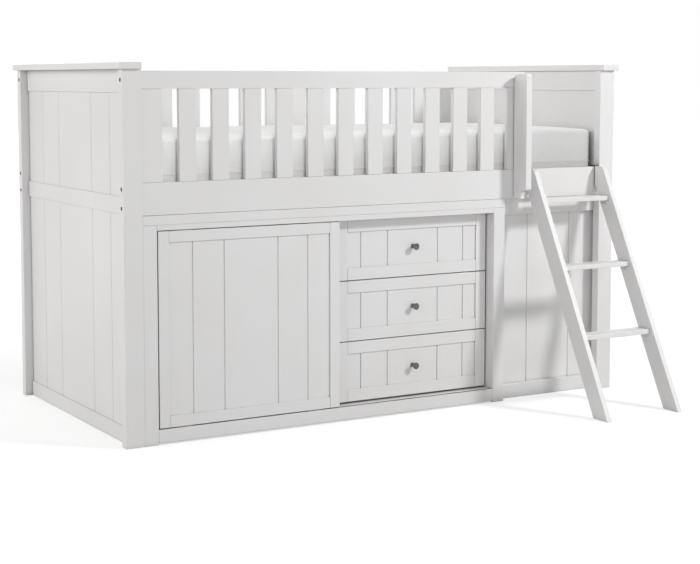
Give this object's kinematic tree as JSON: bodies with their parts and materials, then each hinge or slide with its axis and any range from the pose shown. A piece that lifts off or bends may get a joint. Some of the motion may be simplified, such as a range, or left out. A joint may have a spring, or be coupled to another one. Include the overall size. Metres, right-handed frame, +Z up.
{
  "type": "cabin bed",
  "caption": "Raised single bed with slatted guards, a mattress, a cupboard with a sliding door, drawers below it, a grab board and a leaning hook-on ladder.",
  "frame": {"origin": "on the floor, under the middle of the whole object's outline", "axes": "+X along the bed towards the ladder's end, +Z up, the ladder and the cupboard's front face -Y"},
  "size_m": [2.036, 1.5242, 1.248],
  "materials": {
    "painted_wood": "satin",
    "bare_wood": "matte",
    "mattress_cover": "matte",
    "steel": "satin",
    "dark_metal": "satin",
    "knob_metal": "satin",
    "glide_plastic": "matte"
  },
  "bodies": {
    "bed": {"post_front_left": "painted_wood", "post_front_right": "painted_wood", "post_rear_left": "painted_wood", "post_rear_right": "painted_wood", "cap_left": "painted_wood", "cap_right": "painted_wood", "end_rails_left": "painted_wood", "end_rails_right": "painted_wood", "end_panels_left": "painted_wood", "end_panels_right": "painted_wood", "side_rail_front": "painted_wood", "side_rail_rear": "painted_wood", "guard_top_rails": "painted_wood", "guard_slats_front": "painted_wood", "guard_slats_rear": "painted_wood", "grab_web": "painted_wood", "grab_grip": "painted_wood", "slat_ledgers": "bare_wood", "bed_slats": "bare_wood", "mattress": "mattress_cover", "cupboard_stile_left": "painted_wood", "cupboard_stile_right": "painted_wood", "cupboard_header": "painted_wood", "cupboard_plinth": "painted_wood", "cupboard_top": "painted_wood", "cupboard_base": "painted_wood", "cupboard_uprights": "painted_wood", "cupboard_shelf": "painted_wood", "cupboard_back": "painted_wood", "bay_rails": "painted_wood", "bay_panel": "painted_wood", "door_tracks": "dark_metal", "drawer_runners": "steel", "frame_bolts": "steel", "barrel_nuts": "steel"},
    "sliding_door": {"door_frame": "painted_wood", "door_panel": "painted_wood", "door_glides": "glide_plastic"},
    "drawer_low": {"drawer_low_front": "painted_wood", "drawer_low_panel": "painted_wood", "drawer_low_box": "bare_wood", "drawer_low_bottom": "bare_wood", "drawer_low_slides": "steel", "drawer_low_knob": "knob_metal"},
    "drawer_mid": {"drawer_mid_front": "painted_wood", "drawer_mid_panel": "painted_wood", "drawer_mid_box": "bare_wood", "drawer_mid_bottom": "bare_wood", "drawer_mid_slides": "steel", "drawer_mid_knob": "knob_metal"},
    "drawer_top": {"drawer_top_front": "painted_wood", "drawer_top_panel": "painted_wood", "drawer_top_box": "bare_wood", "drawer_top_bottom": "bare_wood", "drawer_top_slides": "steel", "drawer_top_knob": "knob_metal"},
    "ladder": {"ladder_stringers": "painted_wood", "ladder_treads": "painted_wood", "ladder_hooks": "dark_metal", "ladder_brackets": "steel"}
  },
  "joints": [
    {"name": "door_slide", "type": "slide", "parent": "bed", "child": "sliding_door", "axis": [-1, 0, 0], "range_m": [-0.647, 0]},
    {"name": "drawer_low_slide", "type": "slide", "parent": "bed", "child": "drawer_low", "axis": [0, -1, 0], "range_m": [0, 0.3]},
    {"name": "drawer_mid_slide", "type": "slide", "parent": "bed", "child": "drawer_mid", "axis": [0, -1, 0], "range_m": [0, 0.3]},
    {"name": "drawer_top_slide", "type": "slide", "parent": "bed", "child": "drawer_top", "axis": [0, -1, 0], "range_m": [0, 0.3]},
    {"name": "ladder_lift", "type": "slide", "parent": "bed", "child": "ladder", "axis": [0, 0, 1], "range_m": [0, 0.06]}
  ]
}
